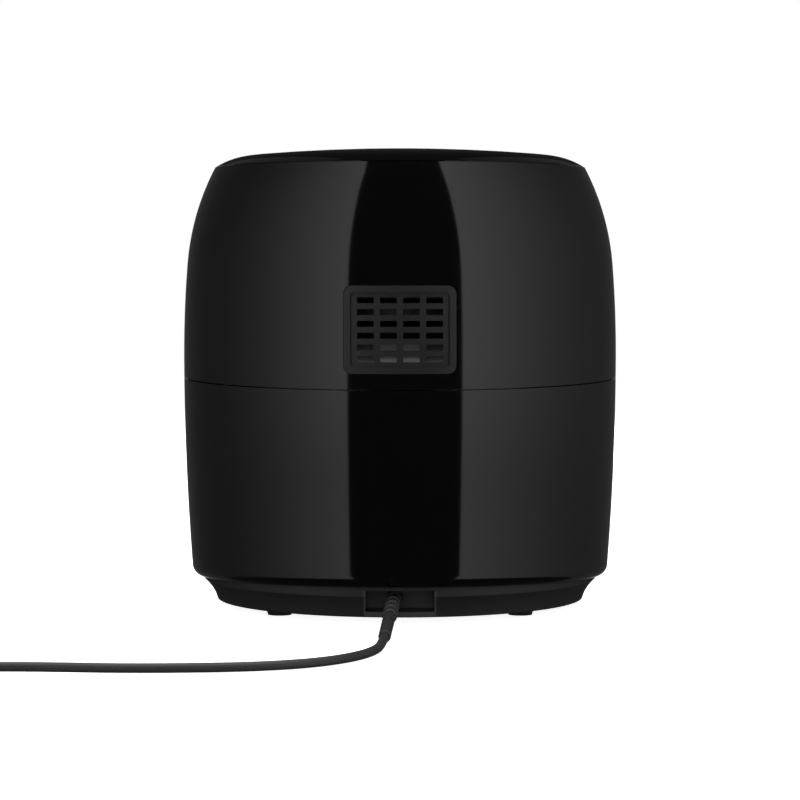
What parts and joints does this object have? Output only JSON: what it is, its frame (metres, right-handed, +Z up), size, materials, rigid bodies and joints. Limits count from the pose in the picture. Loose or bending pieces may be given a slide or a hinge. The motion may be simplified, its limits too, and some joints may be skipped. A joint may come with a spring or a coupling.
{
  "type": "air fryer",
  "caption": "Barrel-shaped countertop air fryer with a domed lid, rear vent grille, pull-out drawer and basket, two dials, a convection fan over a spiral heater and a mains lead.",
  "frame": {"origin": "on the floor under the middle of the appliance's box, handle included and mains lead left out", "axes": "+Z up; the drawer opens towards -Y; the mains lead leaves at +Y"},
  "size_m": [0.544, 0.5893, 0.3267],
  "materials": {
    "gloss_black": "gloss",
    "base_black": "satin",
    "matt_grey": "matt",
    "inner_plastic": "matt",
    "rubber": "matt",
    "steel": "satin",
    "heater_steel": "matt",
    "ceramic": "matt",
    "aluminium": "satin",
    "nonstick": "matt",
    "button_grey": "satin",
    "clear_plastic": "gloss",
    "lamp": "gloss",
    "cord_black": "satin"
  },
  "bodies": {
    "housing": {"upper_housing": "gloss_black", "lower_housing": "gloss_black", "top_cover": "gloss_black", "base_pan": "base_black", "vent_grille": "matt_grey", "control_panel": "matt_grey", "exhaust_duct": "inner_plastic", "drawer_rails": "inner_plastic", "terminal_block": "inner_plastic", "cord_clamp": "inner_plastic", "drawer_switch": "inner_plastic", "thermostat_unit": "inner_plastic", "timer_unit": "inner_plastic", "rubber_feet": "rubber", "chamber_liner": "steel", "heat_shield": "steel", "motor_bracket": "steel", "liner_spacers": "steel", "heater_clips": "steel", "motor": "steel", "rail_screws": "steel", "thermal_fuse": "steel", "thermostat_bulb": "steel", "heating_element": "heater_steel", "heater_terminals": "ceramic", "indicator_lamps": "lamp", "mains_lead": "cord_black", "lead_coil": "cord_black", "cord_guard": "cord_black", "cord_sleeve": "cord_black", "plug": "cord_black", "lead_tie": "cord_black"},
    "fan": {"convection_fan": "aluminium", "cooling_fan": "inner_plastic", "motor_shaft": "steel", "fan_nut": "steel"},
    "drawer": {"drawer_pan": "nonstick", "basket": "nonstick", "drawer_front": "gloss_black", "drawer_inner_panel": "inner_plastic", "drawer_screws": "steel", "basket_bracket": "steel", "handle": "matt_grey", "button_spring": "steel"},
    "timer_dial": {"timer_knob": "matt_grey"},
    "temperature_dial": {"temperature_knob": "matt_grey"},
    "button": {"release_button": "button_grey"},
    "guard": {"button_guard": "clear_plastic"}
  },
  "joints": [
    {"name": "drawer_slide", "type": "slide", "parent": "housing", "child": "drawer", "axis": [0, -1, 0], "range_m": [0, 0.25]},
    {"name": "fan_spin", "type": "hinge", "parent": "housing", "child": "fan", "pos_m": [0, 0.02435, 0.2], "axis": [0, 0, 1], "continuous": true},
    {"name": "timer_turn", "type": "hinge", "parent": "housing", "child": "timer_dial", "pos_m": [0, -0.13075, 0.20612], "axis": [0, -0.9945, 0.1045], "range_deg": [-300, 0]},
    {"name": "temperature_turn", "type": "hinge", "parent": "housing", "child": "temperature_dial", "pos_m": [0, -0.12615, 0.24988], "axis": [0, -0.9945, 0.1045], "range_deg": [-270, 0]},
    {"name": "button_press", "type": "slide", "parent": "drawer", "child": "button", "axis": [0, 0, -1], "range_m": [0, 0.003], "stiffness_N_per_m": 400, "deforming": ["button_spring"]},
    {"name": "guard_slide", "type": "slide", "parent": "drawer", "child": "guard", "axis": [0, -1, 0], "range_m": [0, 0.01]}
  ]
}
